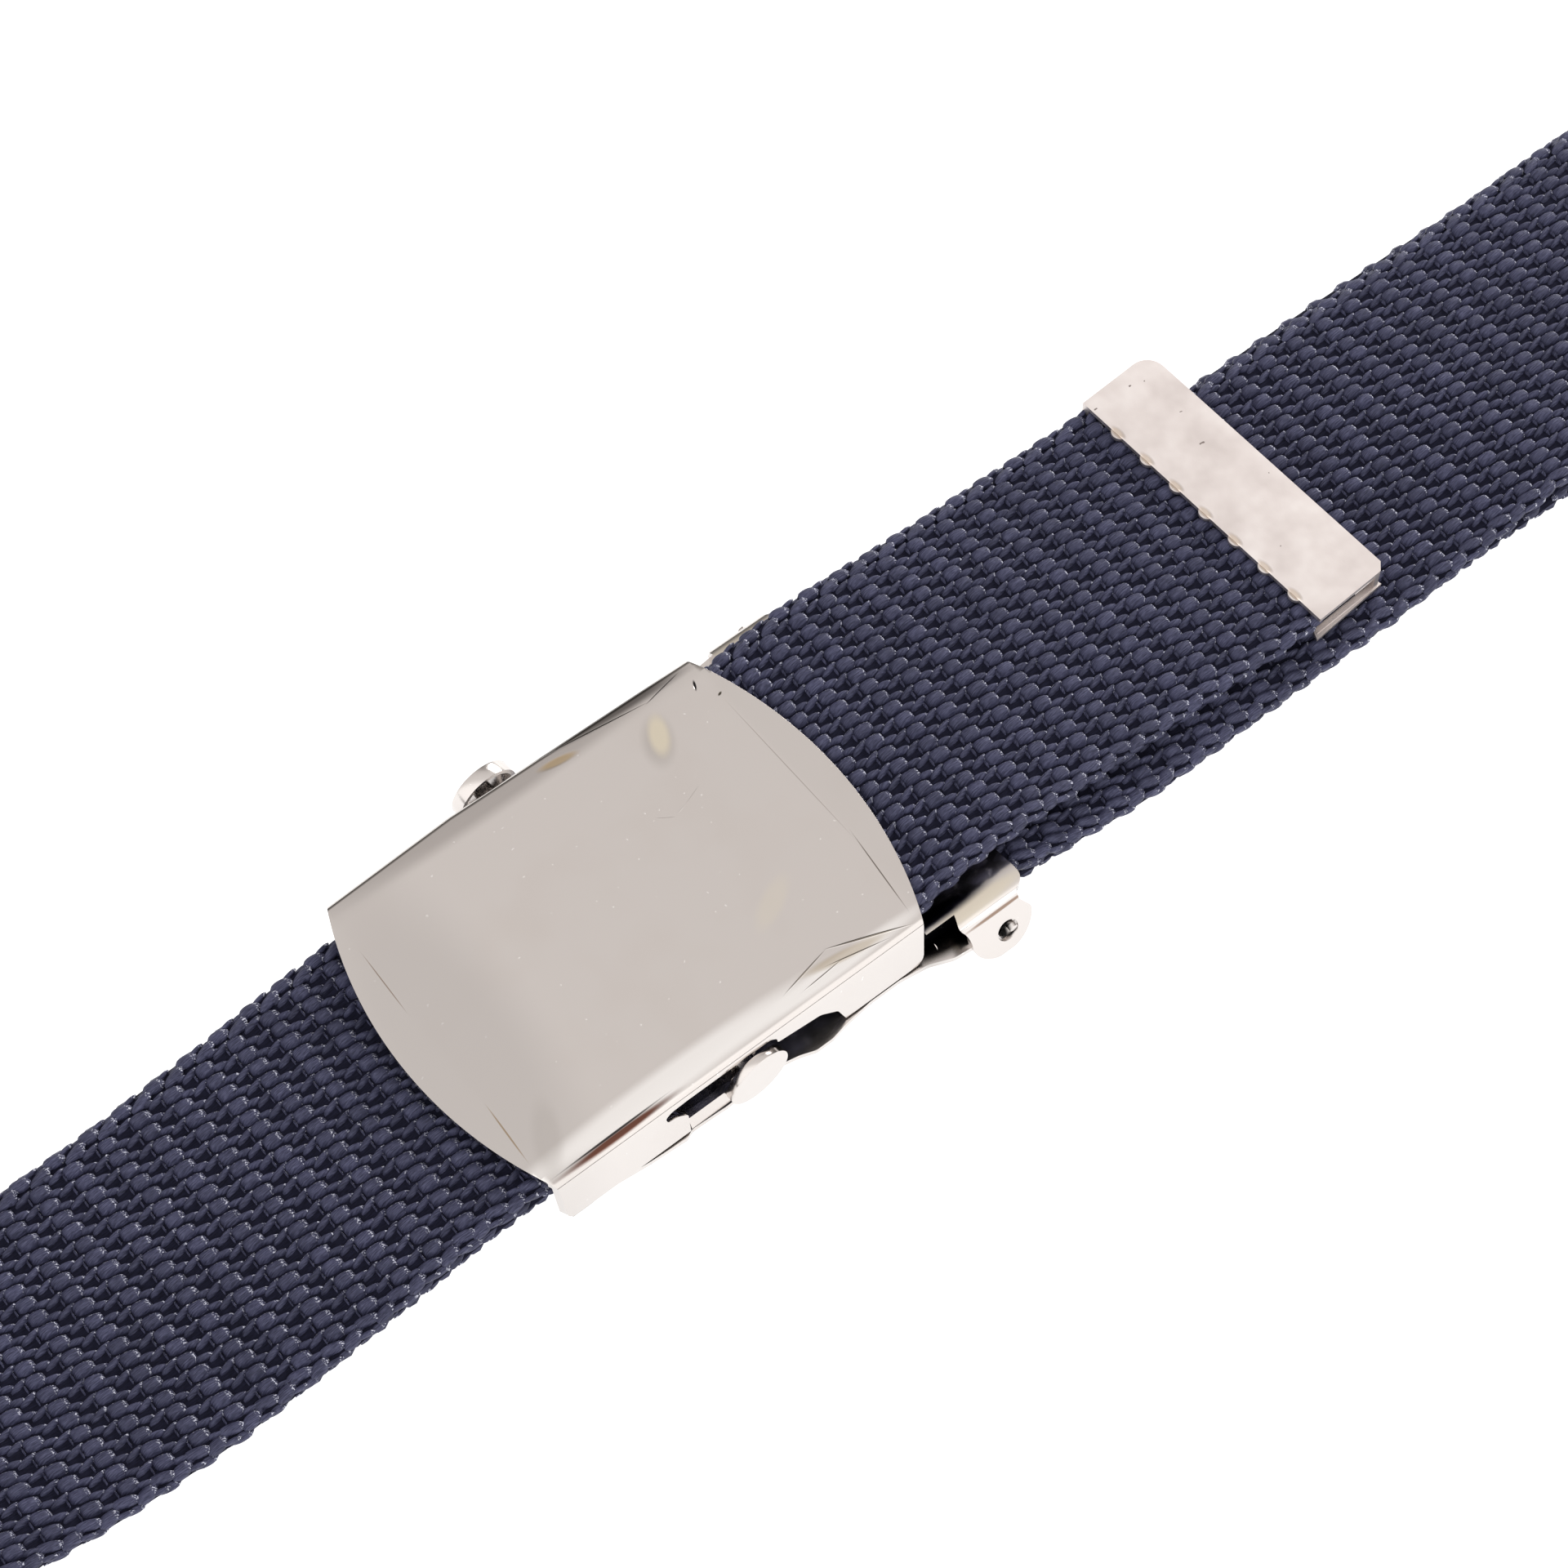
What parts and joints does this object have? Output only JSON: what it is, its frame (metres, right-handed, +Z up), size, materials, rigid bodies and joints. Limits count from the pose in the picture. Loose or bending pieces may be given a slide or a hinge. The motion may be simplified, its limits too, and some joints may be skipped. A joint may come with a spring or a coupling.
{
  "type": "canvas web belt with slide buckle",
  "caption": "Woven web belt, fastened as a whole loop and lying flattened, with a nickel-plated slide buckle, a clamp and a metal tip.",
  "frame": {"origin": "middle of the overall box in plan, at the surface the belt lies on", "axes": "+X along the belt towards the tail tip, +Y across the belt, +Z up from the surface, out of the buckle face"},
  "size_m": [0.5, 0.0488, 0.0222],
  "materials": {
    "navy_web": "thick ribbed cotton weave, matt, with a slight sheen on each float",
    "nickel_plate": "bright nickel plate over folded steel sheet, lightly scratched",
    "satin_plate": "satin nickel plate with a few specks"
  },
  "bodies": {
    "root": {"webbing": "navy_web", "buckle_case": "nickel_plate", "base_channel": "nickel_plate", "slide_bar": "nickel_plate", "clamp_jaw": "nickel_plate", "clamp_pin_near": "nickel_plate", "clamp_pin_far": "nickel_plate", "metal_tip": "satin_plate"}
  },
  "joints": []
}
